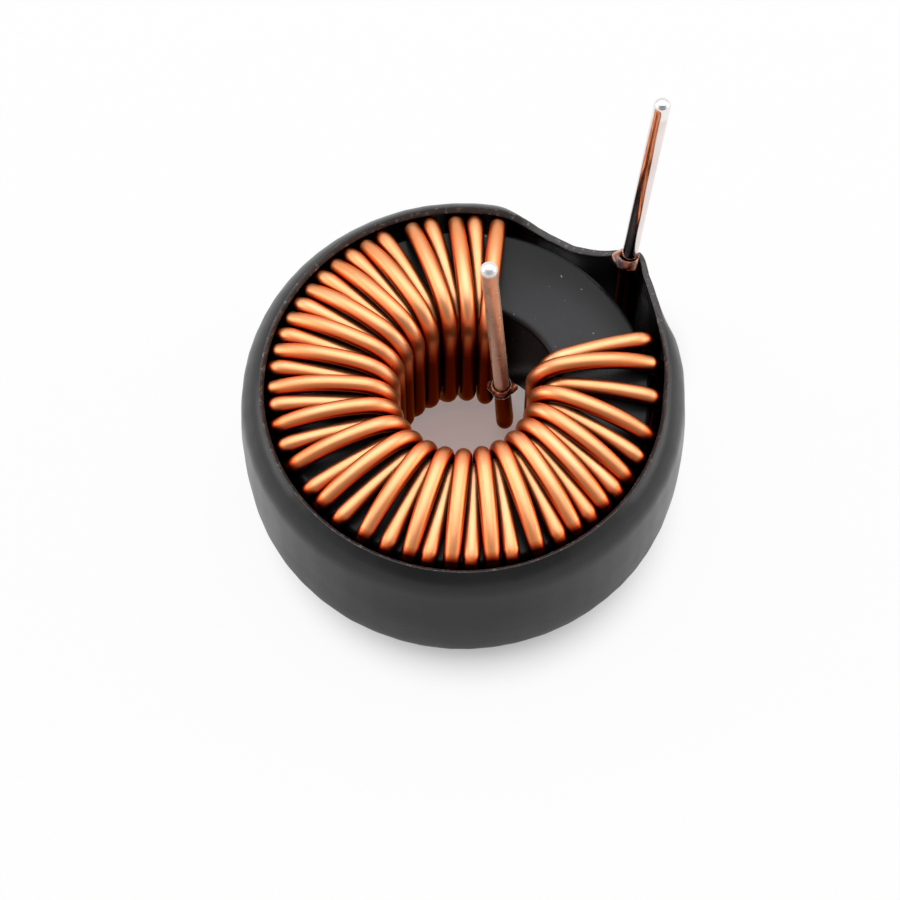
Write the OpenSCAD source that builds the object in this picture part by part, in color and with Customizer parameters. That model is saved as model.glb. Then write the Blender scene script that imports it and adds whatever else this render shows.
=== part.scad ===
// Toroidal power inductor: a coated powder ring core, one thick enamelled wire wound through it,
// a heat-shrink sleeve round the outside, and two tinned leads that stand up from the same side.
//
// The ring's axis is Z. The origin is on that axis, on the plane that the lowest turns rest on,
// and the leads point up. Azimuths are measured from +X towards +Y.

/* [Core] */
// Outer diameter of the ring core
core_od = 46.7; // [42:0.1:56]
// Inner diameter of the ring core
core_id = 24.1; // [22:0.1:30]
// Height of the ring core
core_h = 18; // [12:0.1:28]
// Rounding of the core's edges
core_edge = 0.8; // [0.4:0.1:1.4]

/* [Wire] */
// Diameter of the wire over its enamel
wire_d = 2.15; // [1.6:0.05:2.4]
// Clearance between the wire and the core
seat_gap = 0.1; // [0.05:0.01:0.2]
// Least clearance between neighbouring turns in the bore
turn_gap = 0.04; // [0.03:0.01:0.2]
// How far the outer legs stand off the core's side beyond that clearance
leg_stand = 0.85; // [0.3:0.05:1.2]
// Radius of the wire's bend round the core's outer edge
shoulder_r = 3.4; // [3:0.1:4]
// How far the lower layer's turns arch above the core's face
arch_rise = 0.5; // [0.2:0.05:1.2]

/* [Winding] */
// Azimuth of the first turn's outer leg
first_az = 79.5; // [60:0.5:100]
// Angle left open between the first and the last turn, outside
open_angle = 63; // [50:1:90]
// How far the first turn's inner leg leans into the open angle
first_lean = 9; // [3:0.5:10]
// How far the last turn's inner leg leans into the open angle
last_lean = 2; // [1:0.5:6]

/* [Sleeve] */
// Wall of the shrunk sleeve
sleeve_wall = 1; // [0.6:0.05:1.6]
// Clearance between the sleeve and the turns
sleeve_gap = 0.08; // [0.05:0.01:0.2]
// Height of the upper cut edge above the core's upper face
sleeve_lip = 1.5; // [1:0.1:1.8]
// Depth of the lower cut edge below the core's lower face
sleeve_foot = 2.2; // [1:0.1:2.4]
// How far the lower cut edge stands off the turns
foot_flare = 0.2; // [0:0.1:2]
// How far the sleeve bulges clear of the turns halfway up
sleeve_belly = 0.6; // [0:0.1:1]
// How far the sleeve is drawn in halfway between the outer lead and the turns beside it
ear_hollow = 0.6; // [0:0.1:1]
// Clearance between the ear's inner face and the outer lead's collar
ear_gap = 0.2; // [0.15:0.05:0.5]
// How much of the wall is lost where it is stretched over the lead
ear_thin = 0.25; // [0:0.05:0.4]
// How far the upper cut edge dips in beside the ear, where no turn holds it out
ear_dip = 0.6; // [0:0.1:1]
// How far the upper cut edge drops in height there
ear_drop = 2; // [0:0.1:2.5]

/* [Leads] */
// Azimuth of the outer lead
outer_lead_az = 40.8; // [36:0.1:48]
// Distance of the outer lead's axis from the core's side
outer_lead_stand = 4.2; // [3:0.05:5]
// Lean of the outer lead from upright
outer_lead_tilt = 13; // [5:0.5:20]
// Azimuth that the outer lead leans towards
outer_lead_to = 65; // [40:1:90]
// Distance of the inner lead's foot from the ring's axis
inner_lead_r = 7.2; // [6:0.1:7.5]
// Azimuth of the inner lead's foot
inner_lead_az = 40; // [36:1:46]
// Lean of the inner lead from upright
inner_lead_tilt = 4.7; // [2:0.1:6]
// Azimuth that the inner lead leans towards
inner_lead_to = 222; // [200:1:240]
// Height of the outer lead's tip above the sleeve's cut edge
outer_tip_rise = 27.8; // [15:0.1:40]
// Height of the inner lead's tip above the sleeve's cut edge
inner_tip_rise = 26.6; // [15:0.1:40]
// Height above the sleeve's cut edge at which the outer lead's solder starts
outer_solder_rise = 0.4; // [0.2:0.1:3]
// Depth below the sleeve's cut edge at which the inner lead's solder starts
inner_solder_drop = 7.6; // [3:0.1:9]
// Length of scraped copper between the enamel's end and the solder, under the collar
bare = 0.7; // [0.6:0.05:0.9]
// Diameter of the scraped copper under the solder
stripped_d = 1.68; // [1.5:0.02:1.68]
// Diameter of the tinned lead over its solder
tinned_d = 2; // [1.9:0.05:2.1]

/* [Collars] */
// How far the ring of scorched enamel where the solder starts stands out from the wire
collar_t = 0.2; // [0.15:0.05:0.4]
// Height of that ring
collar_h = 1.3; // [1:0.1:1.6]

/* [Hidden] */

// Places where the hand-wound turns stand further apart: [share of the way round, extra degrees
// outside, extra degrees in the bore, where the turns crowd].
LOOSE = [[0.01, 1.5, 1.1], [0.06, 2.2, 1], [0.1, 3.9, 2], [0.36, 1.3, 0], [0.41, 1.3, 0],
         [0.43, 1.3, 0], [0.455, 1.4, 0], [0.48, 3.8, 0], [0.52, 1.8, 0], [0.55, 3.5, 0],
         [0.57, 1.9, 0], [0.59, 1.5, 0], [0.64, 1.3, 0], [0.68, 0.7, 0], [0.73, 2.3, 0],
         [0.76, 1.6, 0], [0.9, 1.7, 0], [0.92, 2.7, 0], [0.94, 7, 1.2], [0.965, 6, 1.2],
         [0.99, 2.5, 1]];
// Depth of the second bore layer below the first, in wire diameters: the turns nest.
NEST = 0.87;
// How far the upper layer's turns rise above the lower layer's, in wire diameters.
UPPER_RISE = 0.84;
// Radius of the arch over the core's face, in shares of the core's radial width: lower, upper layer.
ARCH = [3, 1.5];
// Radius of the bend into the bore, in wire diameters: lower, upper layer.
PLUNGE = [1.2, 1.95];
// Radius of the leads' kink, in wire diameters.
KINK = 3;
// Upright length of the inner lead between the bend under the core and the kink.
INNER_RISE = 0.6;
// Depth of the outer lead's kink below the core's upper face.
KINK_DROP = 0.5;
// Every second stretch of the wire is drawn this much fatter, and its neighbours run LAP into it.
STEP = 0.004;
LAP = 0.08;

// The upper cut edge of the sleeve beside the outer lead. Each row is a share of the way and of
// the ear's reach, from the last turn to the lead and from the lead to the first turn.
EAR_RISE = [[-0.8, 0], [-0.53, 0.07], [0.1, 0.24], [0.46, 0.44], [0.73, 0.65], [0.865, 0.84],
            [0.955, 0.97], [1, 1]];
EAR_FALL = [[0, 1], [0.06, 0.98], [0.1, 0.8], [0.15, 0.5], [0.2, 0.3], [0.26, 0.17], [0.36, 0.04],
            [0.5, 0], [1, 0]];
// From the lead to the first turn: shares of the edge's dip towards the core, and of its drop.
EAR_DIP = [[0, 0], [0.2, 0], [0.4, 0.8], [0.6, 1], [0.75, 0.6], [0.9, 0]];
EAR_DROP = [[-0.06, 0], [0, 0.3], [0.05, 0.85], [0.1, 1], [0.4, 1], [0.7, 0.6], [1, 0]];
// Half the angle over which the sleeve rounds the lead, in degrees.
EAR_ROUND = 1;
// How much the turns shape the sleeve's upper side, from the last turn to the first one.
EAR_HOLD = [[0, 1], [0.18, 0.2], [0.33, 0], [0.81, 0], [1, 1]];

// Lumps on the collars: [azimuth, distance from the lead's axis, height, size], in shares of the
// collar's radius and height.
OUTER_LUMPS = [[188, 1.1, -0.5, 1.15], [222, 0.8, -0.8, 0.8], [290, 0.75, -0.95, 0.6]];
INNER_LUMPS = [[170, 0.95, -0.4, 0.9], [255, 0.9, -0.5, 0.9], [345, 0.95, -0.6, 0.8],
               [60, 0.85, -0.6, 0.7]];

r = wire_d / 2;
half_h = core_h / 2;
core_wall = (core_od - core_id) / 2;
collar_r = r + collar_t;

// Axis of the outer legs, and centre of the bend that takes them round the core's rounded edge.
leg_x = core_od / 2 + seat_gap + r + leg_stand;
shoulder_x = leg_x - shoulder_r;
edge_x = core_od / 2 - core_edge;
shoulder_z = half_h - core_edge
    - sqrt(pow(shoulder_r - r - seat_gap - core_edge, 2) - pow(edge_x - shoulder_x, 2));

// Bore layers: 0 lies on the core, 1 nests inside it.
function layer(i) = (i + 1) % 2;
bore_r = [core_id / 2 - seat_gap - r, core_id / 2 - seat_gap - r - NEST * wire_d];
plunge_r = [PLUNGE[0] * wire_d, PLUNGE[1] * wire_d];
low_top = half_h + seat_gap + r + arch_rise;
top_z = [low_top, low_top + UPPER_RISE * wire_d];
arch_r = [ARCH[0] * core_wall, ARCH[1] * core_wall];

// Turns: as many as fit side by side in the second bore layer.
function total(list, n) = n == 0 ? 0 : list[n - 1][1] + total(list, n - 1);
function extra(share, k) = total([for (l = LOOSE) [0, share > l[0] ? l[k] : 0]], len(LOOSE));
out_cover = 360 - open_angle - extra(1, 1);
bore_cover = 360 - open_angle + first_lean + last_lean - extra(1, 2);
least_pitch = asin((wire_d + turn_gap) / 2 / bore_r[1]);
turns = 1 + floor(bore_cover / least_pitch);
last = turns - 1;
function out_az(i) = first_az + i / last * out_cover + extra(i / last, 1);
function in_az(i) = first_az - first_lean + i / last * bore_cover + extra(i / last, 2);
last_az = out_az(last) - 360;

// Plan of the legs. The inner lead stands where inner leg -1 would.
inner_foot = polar(inner_lead_r, inner_lead_az);
function inner_leg(i) = i < 0 ? inner_foot : polar(bore_r[layer(i)], in_az(i));
function outer_leg(i) = polar(leg_x, out_az(i));

// Heights. The part rests on the lowest points of the second layer's arches.
mid_z = arch_top(bore_r[1], 1) + r;
lip_z = half_h + sleeve_lip;
foot_z = half_h + sleeve_foot;
outer_tip_z = lip_z + outer_tip_rise;
inner_tip_z = lip_z + inner_tip_rise;

// The outer lead: its foot, and the bend under the core's edge that it rises from.
outer_lead_x = core_od / 2 + outer_lead_stand;
outer_foot = polar(outer_lead_x, outer_lead_az);
outer_bend_r = outer_lead_stand - seat_gap;
outer_bend_z = low_top - outer_bend_r;

// Heights above the mid-plane at which the leads bend to their lean and the solder starts.
outer_kink_z = half_h - KINK_DROP;
inner_kink_z = plunge_r[0] - top_z[0] + INNER_RISE;
outer_solder_z = lip_z + outer_solder_rise;
inner_solder_z = lip_z - inner_solder_drop;
kink_r = KINK * wire_d;

function polar(rad, az) = [rad * cos(az), rad * sin(az)];

// The lower crossing of two circles, each a centre and a radius.
function low_cross(a, ra, b, rb) =
    let (d = b - a,
         along = (d * d + ra * ra - rb * rb) / 2 / norm(d),
         side = sqrt(max(ra * ra - along * along, 0)),
         u = d / norm(d))
    a + along * u + side * [u[1], -u[0]];

// Centre of the arch of radius rad that touches both bends, each a centre and a radius.
function arch_centre(ci, ri, co, ro, rad) = low_cross(ci, rad - ri, co, rad - ro);

function arch_top(bore, k) =
    let (ri = plunge_r[k],
         c = arch_centre([ri, top_z[k] - ri], ri, [shoulder_x - bore, shoulder_z], shoulder_r,
                         arch_r[k]))
    c[1] + arch_r[k];

// A tube along an arc in the XZ plane, from angle a to angle b about the centre c.
module arc(c, rad, a, b, tube_r) {
    translate([c[0], 0, c[1]])
        rotate([90, 0, 0])
            rotate_extrude(start = a, angle = b - a)
                translate([rad, 0])
                    circle(tube_r);
}

// Places children in the upright plane through two points of the plan, from one to the other.
module upright(from, to) {
    translate([from[0], from[1], 0])
        rotate([0, 0, atan2(to[1] - from[1], to[0] - from[0])])
            children();
}

// The wire's way over the core's face: the bend out of the bore, of layer k and as high as peak,
// the arch, and the bend about co, of radius ro, down to the outer leg.
module crossing(k, peak, co, ro) {
    ri = plunge_r[k];
    ci = [ri, peak - ri];
    rad = arch_r[k];
    c = arch_centre(ci, ri, co, ro, rad);
    over = LAP / rad * 180 / PI;
    meet_in = atan2(ci[1] - c[1], ci[0] - c[0]);
    meet_out = atan2(co[1] - c[1], co[0] - c[0]);
    arc(ci, ri, meet_in, 180, r);
    arc(c, rad, meet_out - over, meet_in + over, r - STEP);
    arc(co, ro, 0, meet_out, r);
}

// Half a turn, from inner leg i to outer leg j.
module half_turn(i, j) {
    span = norm(outer_leg(j) - inner_leg(i));
    upright(inner_leg(i), outer_leg(j))
        crossing(layer(i), top_z[layer(i)], [span - shoulder_r, shoulder_z], shoulder_r);
}

// An upright stretch at a point of the plan, run LAP into the bends at both ends.
module rise(at, low, high) {
    translate([at[0], at[1], low - LAP])
        cylinder(r = r - STEP, h = high - low + 2 * LAP);
}

module turn(i) {
    k = layer(i);
    half_turn(i, i);
    mirror([0, 0, 1])
        half_turn(i - 1, i);
    rise(outer_leg(i), -shoulder_z, shoulder_z);
    rise(inner_leg(i), plunge_r[k] - (i < last ? top_z[k] : top_z[0]), top_z[k] - plunge_r[k]);
}

// Places children at the start of a lead's straight, leaning part.
module at_lean(foot, kink_z, tilt, to) {
    translate([foot[0], foot[1], kink_z])
        rotate([0, 0, to])
            translate([kink_r, 0, 0])
                rotate([0, tilt, 0])
                    translate([-kink_r, 0, 0])
                        children();
}

// Length along a leaning lead from its kink to a height above the mid-plane.
function lean_length(kink_z, tilt, z) = (z - kink_z - kink_r * sin(tilt)) / cos(tilt);

// A lead: an upright rise from foot, a gentle kink, and the leaning end, which is scraped to bare
// copper from just below solder_z up.
module lead(foot, low, kink_z, tilt, to, solder_z, tip_z) {
    scrape = lean_length(kink_z, tilt, solder_z) - bare;
    full = lean_length(kink_z, tilt, tip_z) - r;
    rise(foot, low, kink_z);
    translate([foot[0], foot[1], kink_z])
        rotate([0, 0, to])
            arc([kink_r, 0], kink_r, 180 - tilt, 180, r);
    at_lean(foot, kink_z, tilt, to) {
        translate([0, 0, -LAP])
            cylinder(r = r - STEP, h = scrape + LAP);
        translate([0, 0, scrape - LAP])
            cylinder(d = stripped_d, h = full - scrape + LAP);
    }
}

// Places children on the outer or the inner lead, where its solder starts.
module at_outer_solder() {
    at_lean(outer_foot, mid_z + outer_kink_z, outer_lead_tilt, outer_lead_to)
        translate([0, 0, lean_length(outer_kink_z, outer_lead_tilt, outer_solder_z)])
            children();
}

module at_inner_solder() {
    at_lean(inner_foot, mid_z + inner_kink_z, inner_lead_tilt, inner_lead_to)
        translate([0, 0, lean_length(inner_kink_z, inner_lead_tilt, inner_solder_z)])
            children();
}

outer_tin_length = (outer_tip_z - outer_solder_z) / cos(outer_lead_tilt);
inner_tin_length = (inner_tip_z - inner_solder_z) / cos(inner_lead_tilt);

// Ring core with rounded edges.
module core() {
    color([0.16, 0.16, 0.17])
        translate([0, 0, mid_z])
            rotate_extrude($fn = 96)
                translate([core_id / 2, -half_h])
                    rounded_bar(core_wall, core_h, core_edge);
}

module rounded_bar(w, h, edge) {
    translate([edge, 0])
        square([w - 2 * edge, h]);
    translate([0, edge])
        square([w, h - 2 * edge]);
    for (x = [edge, w - edge], y = [edge, h - edge])
        translate([x, y])
            circle(edge, $fn = 32);
}

// One continuous wire: the inner lead, every turn, and the outer lead.
module winding() {
    $fn = 24;
    color([0.83, 0.48, 0.24])
        translate([0, 0, mid_z]) {
            lead(inner_foot, plunge_r[0] - top_z[0], inner_kink_z, inner_lead_tilt,
                 inner_lead_to, inner_solder_z, inner_tip_z);
            for (i = [0 : last])
                turn(i);
            // From the last inner leg, under the core, to the outer lead.
            mirror([0, 0, 1])
                upright(inner_leg(last), outer_foot)
                    crossing(layer(last), top_z[0],
                             [norm(outer_foot - inner_leg(last)) - outer_bend_r, outer_bend_z],
                             outer_bend_r);
            lead(outer_foot, -outer_bend_z, outer_kink_z, outer_lead_tilt, outer_lead_to,
                 outer_solder_z, outer_tip_z);
        }
}

// The sleeve's section follows the outside of the turns: t is -2 at the lower cut edge, -1 to 1
// along the straight legs and 2 at the upper cut edge.
skin = r + sleeve_gap;
lip_turn = asin((lip_z - shoulder_z) / (shoulder_r + skin));
foot_turn = asin((foot_z - shoulder_z) / (shoulder_r + skin));
function section(t) =
    let (a = max(0, abs(t) - 1) * (t < 0 ? foot_turn : lip_turn))
    [shoulder_x + (shoulder_r + skin) * cos(a),
     sign(t) * (min(1, abs(t)) * shoulder_z + (shoulder_r + skin) * sin(a))];

// 1 halfway from 0 to 1, and 0 at both ends.
function hump(share) = 4 * share * (1 - share);

// Radius at an azimuth of the straight line between two points of the plan, azimuths from and to.
function chord(az, from, from_r, to, to_r) =
    from_r * to_r * sin(to - from) / (from_r * sin(az - from) + to_r * sin(to - az));

// Radius of the taut sleeve at an azimuth, where the section's radius is x: it runs from the last
// turn to the outer lead, round the lead, and on to the first turn, drawn in a little on the way.
ear_x = outer_lead_x + collar_r + ear_gap;
function taut(az, x) =
    let (off = az - outer_lead_az,
         side = off < 0 ? -1 : 1,
         at = outer_lead_az + side * sqrt(off * off + EAR_ROUND * EAR_ROUND),
         turn_az = off < 0 ? last_az : first_az)
    side * (turn_az - at) <= 0 ? x : chord(at, outer_lead_az, ear_x, turn_az, x)
        - ear_hollow * hump((at - outer_lead_az) / (turn_az - outer_lead_az));

// The upper cut edge at an azimuth: its share of the ear's reach, its radius and its drop.
lip_r = section(2)[0];
function fall_way(az) = (az - outer_lead_az) / (first_az - outer_lead_az);
function ear_share(az) = az < outer_lead_az
    ? lookup((az - last_az) / (outer_lead_az - last_az), EAR_RISE)
    : lookup(fall_way(az), EAR_FALL);
function edge_r(az) =
    lip_r + ear_share(az) * (ear_x - lip_r) - ear_dip * lookup(fall_way(az), EAR_DIP);
function edge_drop(az) = ear_drop * lookup(fall_way(az), EAR_DROP);

// A point of the sleeve's inner face.
function inner_face(az, t) =
    let (p = section(t),
         low = max(0, -p[1] / foot_z),
         edge = pow(max(0, p[1] / lip_z), 2),
         x = p[0] + foot_flare * low * low + sleeve_belly * max(0, hump(0.5 + p[1] / core_h)),
         hold = lookup((az - last_az) / (first_az - last_az), EAR_HOLD),
         rad = (1 - edge) * taut(az, x) + edge * (edge_r(az) + hold * (x - lip_r)))
    [rad * cos(az), rad * sin(az), p[1] - edge * edge_drop(az)];

// The same point moved out by the wall, square to the face.
function outer_face(az, t) =
    let (out = cross(inner_face(az + 0.5, t) - inner_face(az - 0.5, t),
                     inner_face(az, t + 0.05) - inner_face(az, t - 0.05)))
    inner_face(az, t) + sleeve_wall * (1 - ear_thin * ear_share(az)) * out / norm(out);

// The section's rows, and the azimuths of its columns, which are closer together at the ear.
section_rows = [-2, -1.8, -1.6, -1.4, -1.2, -1, 0, 1, 1.2, 1.4, 1.6, 1.8, 2];
ear_from = last_az - 20;
azimuths = concat([for (s = [0 : 13]) ear_from + s * (outer_lead_az - 4 - ear_from) / 14],
                  [for (s = [0 : 11]) outer_lead_az - 4 + s],
                  [for (s = [0 : 13]) outer_lead_az + 8 + s * (first_az - outer_lead_az - 8) / 14],
                  [for (s = [0 : 55]) first_az + s * (360 + ear_from - first_az) / 56]);

// Shrunk sleeve: a wall that follows the turns' outer side, with its upper cut edge turned in.
module sleeve() {
    rows = len(section_rows);
    cols = len(azimuths);
    // Rings of points up the inner face, then down the outer face.
    points = concat([for (t = section_rows, az = azimuths) inner_face(az, t)],
                    [for (i = [rows - 1 : -1 : 0], az = azimuths) outer_face(az, section_rows[i])]);
    faces = [for (i = [0 : 2 * rows - 1], j = [0 : cols - 1])
        let (here = i * cols,
             next = (i + 1) % (2 * rows) * cols,
             k = (j + 1) % cols)
        each [[here + j, here + k, next + k], [here + j, next + k, next + j]]];
    color([0.13, 0.13, 0.14])
        translate([0, 0, mid_z])
            polyhedron(points, faces, convexity = 6);
}

// Coat of solder on a stripped lead, with a domed tip.
module tinning(length) {
    color([0.80, 0.80, 0.82])
        difference() {
            union() {
                cylinder(d = tinned_d, h = length - tinned_d / 2, $fn = 32);
                translate([0, 0, length - tinned_d / 2])
                    sphere(d = tinned_d, $fn = 32);
            }
            translate([0, 0, -1])
                cylinder(d = stripped_d, h = 1 + length - r, $fn = 32);
        }
}

module outer_lead_tinning() {
    at_outer_solder()
        tinning(outer_tin_length);
}

module inner_lead_tinning() {
    at_inner_solder()
        tinning(inner_tin_length);
}

// Ring of scorched enamel and flux: a bead over a skirt that runs down the wire, with lumps.
module collar(lumps) {
    color([0.45, 0.16, 0.08])
        difference() {
            union() {
                rotate_extrude($fn = 48)
                    polygon([[0, 0.1 * collar_h], [collar_r - collar_t, 0.05 * collar_h],
                             [collar_r - 0.3 * collar_t, -0.1 * collar_h],
                             [collar_r, -0.35 * collar_h],
                             [collar_r - 0.3 * collar_t, -0.6 * collar_h],
                             [collar_r - 0.6 * collar_t, -collar_h], [0, -collar_h]]);
                for (l = lumps)
                    rotate([0, 0, l[0]])
                        translate([l[1] * collar_r, 0, l[2] * collar_h])
                            sphere(d = l[3] * collar_r, $fn = 24);
            }
            translate([0, 0, -2 * collar_h])
                cylinder(r = r - STEP, h = 2 * collar_h - bare, $fn = 32);
            translate([0, 0, -collar_h])
                cylinder(d = stripped_d, h = 2 * collar_h, $fn = 32);
            cylinder(d = tinned_d, h = collar_h, $fn = 32);
        }
}

module outer_lead_collar() {
    at_outer_solder()
        collar(OUTER_LUMPS);
}

module inner_lead_collar() {
    at_inner_solder()
        collar(INNER_LUMPS);
}

core();
winding();
sleeve();
outer_lead_tinning();
inner_lead_tinning();
outer_lead_collar();
inner_lead_collar();
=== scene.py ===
"""Toroidal power inductor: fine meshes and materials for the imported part.

Lengths are in millimetres until a mesh is made, which scales them to metres. Lengths inside
materials, where textures read an object's coordinates, are in metres. Azimuths are in degrees from
+X towards +Y. Heights are above the core's mid-plane until a point is lifted by MID_Z, so that the
part rests on z = 0.
"""

import math
from collections import namedtuple

import bpy
from mathutils import Matrix, Vector, noise


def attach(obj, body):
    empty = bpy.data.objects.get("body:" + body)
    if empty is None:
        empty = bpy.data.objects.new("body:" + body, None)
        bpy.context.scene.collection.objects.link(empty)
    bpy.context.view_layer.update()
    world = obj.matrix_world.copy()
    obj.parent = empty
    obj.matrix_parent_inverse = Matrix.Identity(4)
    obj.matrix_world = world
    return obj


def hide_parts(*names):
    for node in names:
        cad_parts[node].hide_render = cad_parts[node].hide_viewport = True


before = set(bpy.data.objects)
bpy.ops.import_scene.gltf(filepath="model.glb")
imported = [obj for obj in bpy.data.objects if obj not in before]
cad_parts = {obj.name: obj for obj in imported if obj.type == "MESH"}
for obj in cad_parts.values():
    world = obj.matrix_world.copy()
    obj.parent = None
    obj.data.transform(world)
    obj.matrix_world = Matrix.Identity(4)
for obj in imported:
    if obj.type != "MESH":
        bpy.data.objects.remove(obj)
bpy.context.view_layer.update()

MM = 0.001

# ---------------------------------------------------------------- sizes, as in the part's source
CORE_OD, CORE_ID, CORE_H, CORE_EDGE = 46.7, 24.1, 18.0, 0.8
WIRE_D, SEAT_GAP, TURN_GAP = 2.15, 0.1, 0.04
LEG_STAND, SHOULDER_R, ARCH_RISE = 0.85, 3.4, 0.5
FIRST_AZ, OPEN_ANGLE, FIRST_LEAN, LAST_LEAN = 79.5, 63.0, 9.0, 2.0
SLEEVE_WALL, SLEEVE_GAP, SLEEVE_LIP, SLEEVE_FOOT = 1.0, 0.08, 1.5, 2.2
FOOT_FLARE, EAR_GAP, EAR_THIN, EAR_DIP, EAR_DROP = 0.2, 0.2, 0.25, 0.6, 2.0
SLEEVE_BELLY, EAR_HOLLOW, EAR_ROUND = 0.6, 0.6, 1.0
OUTER_LEAD = {"az": 40.8, "stand": 4.2, "tilt": 13.0, "to": 65.0, "tip": 27.8, "strip": 0.4}
INNER_LEAD = {"r": 7.2, "az": 40.0, "tilt": 4.7, "to": 222.0, "tip": 26.6, "strip": -7.6}
BARE, STRIPPED_D, TINNED_D = 0.7, 1.68, 2.0
COLLAR_T, COLLAR_H = 0.2, 1.3
# Where the turns stand apart: share of the way round, extra degrees outside and in the bore.
LOOSE = [(0.01, 1.5, 1.1), (0.06, 2.2, 1), (0.1, 3.9, 2), (0.36, 1.3, 0), (0.41, 1.3, 0),
         (0.43, 1.3, 0), (0.455, 1.4, 0), (0.48, 3.8, 0), (0.52, 1.8, 0), (0.55, 3.5, 0),
         (0.57, 1.9, 0), (0.59, 1.5, 0), (0.64, 1.3, 0), (0.68, 0.7, 0), (0.73, 2.3, 0),
         (0.76, 1.6, 0), (0.9, 1.7, 0), (0.92, 2.7, 0), (0.94, 7, 1.2), (0.965, 6, 1.2),
         (0.99, 2.5, 1)]
NEST, UPPER_RISE = 0.87, 0.84
ARCH, PLUNGE, KINK, INNER_RISE, KINK_DROP = (3.0, 1.5), (1.2, 1.95), 3.0, 0.6, 0.5
# The sleeve's upper edge at the ear: how far it is drawn out, up to the lead and from it, how far
# it dips towards the core and drops beyond it, and how far the turns shape it.
EAR_RISE = [(-0.8, 0), (-0.53, 0.07), (0.1, 0.24), (0.46, 0.44), (0.73, 0.65), (0.865, 0.84),
            (0.955, 0.97), (1, 1)]
EAR_FALL = [(0, 1), (0.06, 0.98), (0.1, 0.8), (0.15, 0.5), (0.2, 0.3), (0.26, 0.17),
            (0.36, 0.04), (0.5, 0), (1, 0)]
EAR_DIP_SHARE = [(0, 0), (0.2, 0), (0.4, 0.8), (0.6, 1), (0.75, 0.6), (0.9, 0)]
EAR_DROP_SHARE = [(-0.06, 0), (0, 0.3), (0.05, 0.85), (0.1, 1), (0.4, 1), (0.7, 0.6), (1, 0)]
EAR_HOLD = [(0, 1), (0.18, 0.2), (0.33, 0), (0.81, 0), (1, 1)]

R = WIRE_D / 2
HALF_H = CORE_H / 2
CORE_WALL = (CORE_OD - CORE_ID) / 2
LEG_X = CORE_OD / 2 + SEAT_GAP + R + LEG_STAND
SHOULDER_X = LEG_X - SHOULDER_R
SHOULDER_Z = HALF_H - CORE_EDGE - math.sqrt(
    (SHOULDER_R - R - SEAT_GAP - CORE_EDGE) ** 2 - (CORE_OD / 2 - CORE_EDGE - SHOULDER_X) ** 2)
# Pairs are for the two layers in the bore: the lower turns, and those nested on them.
BORE_R = (CORE_ID / 2 - SEAT_GAP - R, CORE_ID / 2 - SEAT_GAP - R - NEST * WIRE_D)
PLUNGE_R = (PLUNGE[0] * WIRE_D, PLUNGE[1] * WIRE_D)
LOW_TOP = HALF_H + SEAT_GAP + R + ARCH_RISE
TOP_Z = (LOW_TOP, LOW_TOP + UPPER_RISE * WIRE_D)
ARCH_R = (ARCH[0] * CORE_WALL, ARCH[1] * CORE_WALL)
KINK_R = KINK * WIRE_D
LIP_Z = HALF_H + SLEEVE_LIP
FOOT_Z = HALF_H + SLEEVE_FOOT

# ---------------------------------------------------------------- what only the drawn meshes have
# The drawn legs hug the core closer than the solids' and bend over it higher, so that the turns
# end a little inside the sleeve's edge, as in the photo.
LEG_HUG, BEND_RAISE = 0.45, 0.16
# Pieces that the wire's bends, arches and upright legs are drawn in, and the points round it.
BEND_STEPS, ARCH_STEPS, LEG_STEPS, WIRE_SIDES = 9, 10, 6, 24
# How far the wire wanders, and over which distance.
WANDER, WANDER_LENGTH = 0.05, 9.0
# Painted light on the wire's upright legs, outside and in the bore: the heights between which they
# come into the light, the distances from the axis between which the wire becomes such a leg, and
# the least light in the bore.
OUTER_LEGS_LIT, OUTER_LEGS_R = (7.0, 9.6), (22.3, 23.9)
BORE_LEGS_LIT, BORE_LEGS_R, BORE_LEAST = (2.0, 11.5), (11.9, 10.4), 0.05
# A turn's painted shade in the grooves near the core fades out between these distances from the
# core's rounded section.
GROOVE_SHADE = (CORE_EDGE + 3.9, CORE_EDGE + 4.9)
# The drawn turns' ends, painted dark as shadow behind the sleeve's edge: their distance from the
# axis, how much less it is on the camera's side, how round an end is, and over which width it
# darkens. The leads, which rise past ENDS_BELOW, have none.
END_R, END_R_LESS, END_ROUND, END_WIDTH, ENDS_BELOW = 24.0, 0.6, 0.9, 0.4, LIP_Z + 1.0
# The sleeve's columns along the ear and round the rest, and how far the ear's columns reach beyond
# the last and the first turn, in degrees.
COLUMNS_EAR, COLUMNS_ROUND = 100, 170
EAR_BEFORE, EAR_AFTER = 20, 4
# The sleeve's skin: the edges' rounding, the ribs' depth and half-width in degrees, the waves'
# depth and length, how uneven the wall is, and how far the skin is set back so that it stays inside
# the solid.
EDGE_ROUNDING, RIB_DEPTH, RIB_WIDTH = 0.16, 0.05, 2.2
WAVE, WAVE_LENGTH, WALL_UNEVEN, SET_BACK = 0.04, 6.0, 0.03, 0.035
# How widely the sleeve's corners are eased beside the end turns, and over which angle each, in
# degrees; below EASE_LEAST it wouldn't show.
EASE, EASE_LAST, EASE_FIRST, EASE_LEAST = 1.6, 8, 5, 0.02
# Steps over which the skin's slopes are measured: degrees round it, and along its section.
STEP_AZ, STEP_T = 0.5, 0.05

rad = math.radians


def polar(radius, az):
    return Vector((radius * math.cos(rad(az)), radius * math.sin(rad(az))))


def lifted(p):
    """A point above the mid-plane, as a point above the plane that the part rests on."""
    return p + Vector((0, 0, MID_Z))


def lookup(x, table):
    """The value at x on the straight lines between a table's points."""
    if x <= table[0][0]:
        return table[0][1]
    for (x0, y0), (x1, y1) in zip(table, table[1:]):
        if x <= x1:
            return y0 + (y1 - y0) * (x - x0) / (x1 - x0)
    return table[-1][1]


def smooth(x):
    x = min(1.0, max(0.0, x))
    return x * x * (3 - 2 * x)


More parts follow.
